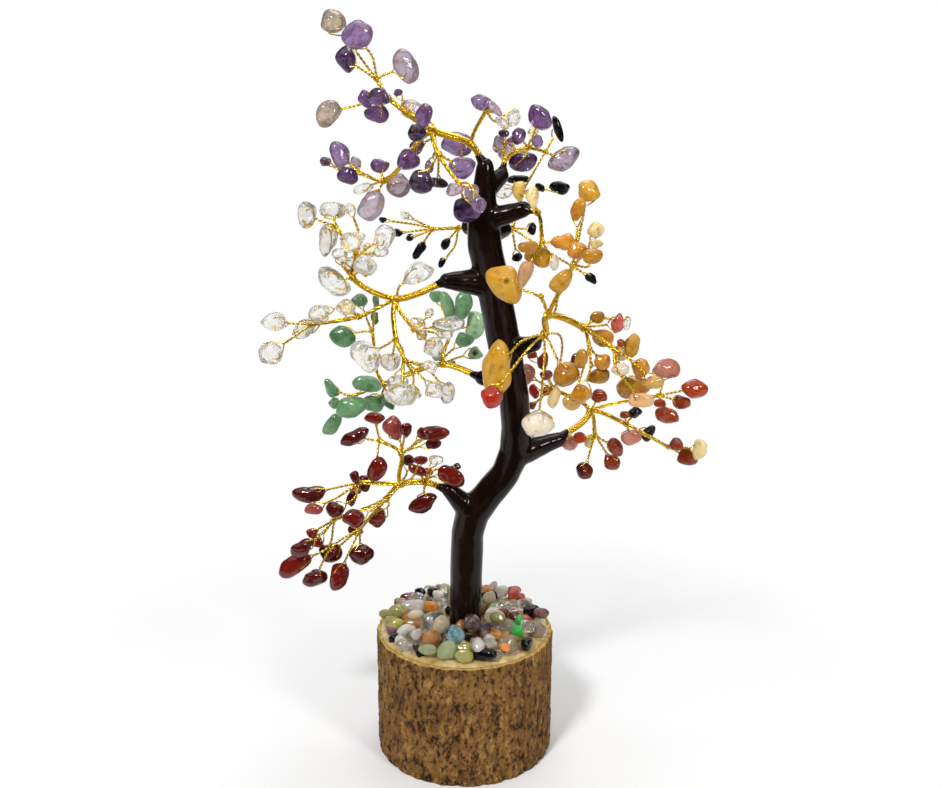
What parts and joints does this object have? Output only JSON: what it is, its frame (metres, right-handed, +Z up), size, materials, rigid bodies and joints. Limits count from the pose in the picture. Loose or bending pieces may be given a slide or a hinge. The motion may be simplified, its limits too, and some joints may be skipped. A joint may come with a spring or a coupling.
{
  "type": "gemstone tree ornament",
  "caption": "Wire tree with drilled gemstone chips on gold twigs, a glossy dark trunk with branch stubs, and a bark log base bedded with tumbled stones.",
  "frame": {"origin": "centre of the log's underside, on the surface that the tree stands on", "axes": "+Z up along the log and the trunk, +X to the right of the picture, +Y away from the viewer"},
  "size_m": [0.1437, 0.0687, 0.2406],
  "materials": {
    "amethyst_chips": "polished, translucent violet",
    "amethyst_clear_chips": "polished, clear",
    "amethyst_stem": "bright gold wire, twisted",
    "amethyst_twigs": "bright gold wire, twisted",
    "carnelian_black_chips": "polished black",
    "carnelian_chips": "polished orange-red",
    "carnelian_cream_chips": "polished cream",
    "carnelian_stem": "bright gold wire, twisted",
    "carnelian_twigs": "bright gold wire, twisted",
    "glue_bed": "clear set glue",
    "gravel_amber": "polished amber",
    "gravel_black": "polished black",
    "gravel_blue": "polished sky blue",
    "gravel_clear": "polished, clear",
    "gravel_garnet": "polished dark red",
    "gravel_milky": "polished, milky",
    "gravel_moss": "polished green",
    "gravel_olive": "polished olive",
    "green_chips": "polished green",
    "green_stem": "bright gold wire, twisted",
    "green_twigs": "bright gold wire, twisted",
    "left_black_chips": "polished black",
    "left_black_clear_chips": "polished, clear",
    "left_black_stem": "bright gold wire, twisted",
    "left_black_twigs": "bright gold wire, twisted",
    "lilac_chips": "polished, translucent lilac",
    "lilac_clear_chips": "polished, clear",
    "lilac_stem": "bright gold wire, twisted",
    "lilac_twigs": "bright gold wire, twisted",
    "log_bark": "rough bark",
    "log_core": "sawn end grain",
    "lower_yellow_chips": "polished honey",
    "lower_yellow_clear_chips": "polished, clear",
    "lower_yellow_cream_chips": "polished cream",
    "lower_yellow_red_chips": "polished red",
    "lower_yellow_stem": "bright gold wire, twisted",
    "lower_yellow_twigs": "bright gold wire, twisted",
    "quartz_chips": "polished, clear",
    "quartz_stem": "bright gold wire, twisted",
    "quartz_twigs": "bright gold wire, twisted",
    "red_chips": "polished deep red",
    "red_clear_chips": "polished, clear",
    "red_stem": "bright gold wire, twisted",
    "red_twigs": "bright gold wire, twisted",
    "right_black_chips": "polished black",
    "right_black_clear_chips": "polished, clear",
    "right_black_stem": "bright gold wire, twisted",
    "right_black_twigs": "bright gold wire, twisted",
    "trunk": "glossy dark brown",
    "upper_yellow_chips": "polished honey",
    "upper_yellow_cream_chips": "polished cream",
    "upper_yellow_stem": "bright gold wire, twisted",
    "upper_yellow_twigs": "bright gold wire, twisted"
  },
  "bodies": {
    "stand": {"glue_bed": "glue_bed", "gravel_amber": "gravel_amber", "gravel_black": "gravel_black", "gravel_blue": "gravel_blue", "gravel_clear": "gravel_clear", "gravel_garnet": "gravel_garnet", "gravel_milky": "gravel_milky", "gravel_moss": "gravel_moss", "gravel_olive": "gravel_olive", "log_bark": "log_bark", "log_core": "log_core", "trunk": "trunk"},
    "amethyst": {"amethyst_chips": "amethyst_chips", "amethyst_clear_chips": "amethyst_clear_chips", "amethyst_stem": "amethyst_stem", "amethyst_twigs": "amethyst_twigs"},
    "carnelian": {"carnelian_black_chips": "carnelian_black_chips", "carnelian_chips": "carnelian_chips", "carnelian_cream_chips": "carnelian_cream_chips", "carnelian_stem": "carnelian_stem", "carnelian_twigs": "carnelian_twigs"},
    "green": {"green_chips": "green_chips", "green_stem": "green_stem", "green_twigs": "green_twigs"},
    "left_black": {"left_black_chips": "left_black_chips", "left_black_clear_chips": "left_black_clear_chips", "left_black_stem": "left_black_stem", "left_black_twigs": "left_black_twigs"},
    "lilac": {"lilac_chips": "lilac_chips", "lilac_clear_chips": "lilac_clear_chips", "lilac_stem": "lilac_stem", "lilac_twigs": "lilac_twigs"},
    "lower_yellow": {"lower_yellow_chips": "lower_yellow_chips", "lower_yellow_clear_chips": "lower_yellow_clear_chips", "lower_yellow_cream_chips": "lower_yellow_cream_chips", "lower_yellow_red_chips": "lower_yellow_red_chips", "lower_yellow_stem": "lower_yellow_stem", "lower_yellow_twigs": "lower_yellow_twigs"},
    "quartz": {"quartz_chips": "quartz_chips", "quartz_stem": "quartz_stem", "quartz_twigs": "quartz_twigs"},
    "red": {"red_chips": "red_chips", "red_clear_chips": "red_clear_chips", "red_stem": "red_stem", "red_twigs": "red_twigs"},
    "right_black": {"right_black_chips": "right_black_chips", "right_black_clear_chips": "right_black_clear_chips", "right_black_stem": "right_black_stem", "right_black_twigs": "right_black_twigs"},
    "upper_yellow": {"upper_yellow_chips": "upper_yellow_chips", "upper_yellow_cream_chips": "upper_yellow_cream_chips", "upper_yellow_stem": "upper_yellow_stem", "upper_yellow_twigs": "upper_yellow_twigs"}
  },
  "joints": [
    {"name": "amethyst_bend", "type": "hinge", "parent": "stand", "child": "amethyst", "pos_m": [0.00649, 0, 0.19544], "axis": [0, 1, 0], "range_deg": [-15, 15]},
    {"name": "lilac_bend", "type": "hinge", "parent": "stand", "child": "lilac", "pos_m": [0.0115, 0.00387, 0.19228], "axis": [0, 1, 0], "range_deg": [-15, 15]},
    {"name": "quartz_bend", "type": "hinge", "parent": "stand", "child": "quartz", "pos_m": [-0.00511, -0.00473, 0.16102], "axis": [0, 1, 0], "range_deg": [-15, 15]},
    {"name": "green_bend", "type": "hinge", "parent": "stand", "child": "green", "pos_m": [0.00593, 0.00543, 0.12773], "axis": [0, 1, 0], "range_deg": [-15, 15]},
    {"name": "red_bend", "type": "hinge", "parent": "stand", "child": "red", "pos_m": [-0.00502, -0.0016, 0.09183], "axis": [0, 1, 0], "range_deg": [-15, 15]},
    {"name": "upper_yellow_bend", "type": "hinge", "parent": "stand", "child": "upper_yellow", "pos_m": [0.01796, -0.00316, 0.18266], "axis": [0, 1, 0], "range_deg": [-15, 15]},
    {"name": "lower_yellow_bend", "type": "hinge", "parent": "stand", "child": "lower_yellow", "pos_m": [0.02202, -0.00541, 0.14143], "axis": [0, 1, 0], "range_deg": [-15, 15]},
    {"name": "carnelian_bend", "type": "hinge", "parent": "stand", "child": "carnelian", "pos_m": [0.03093, 0.00408, 0.10727], "axis": [0, 1, 0], "range_deg": [-15, 15]},
    {"name": "left_black_bend", "type": "hinge", "parent": "stand", "child": "left_black", "pos_m": [0.00158, 0.00741, 0.17626], "axis": [0, 1, 0], "range_deg": [-15, 15]},
    {"name": "right_black_bend", "type": "hinge", "parent": "stand", "child": "right_black", "pos_m": [0.01265, 0.00736, 0.17533], "axis": [0, 1, 0], "range_deg": [-15, 15]}
  ]
}
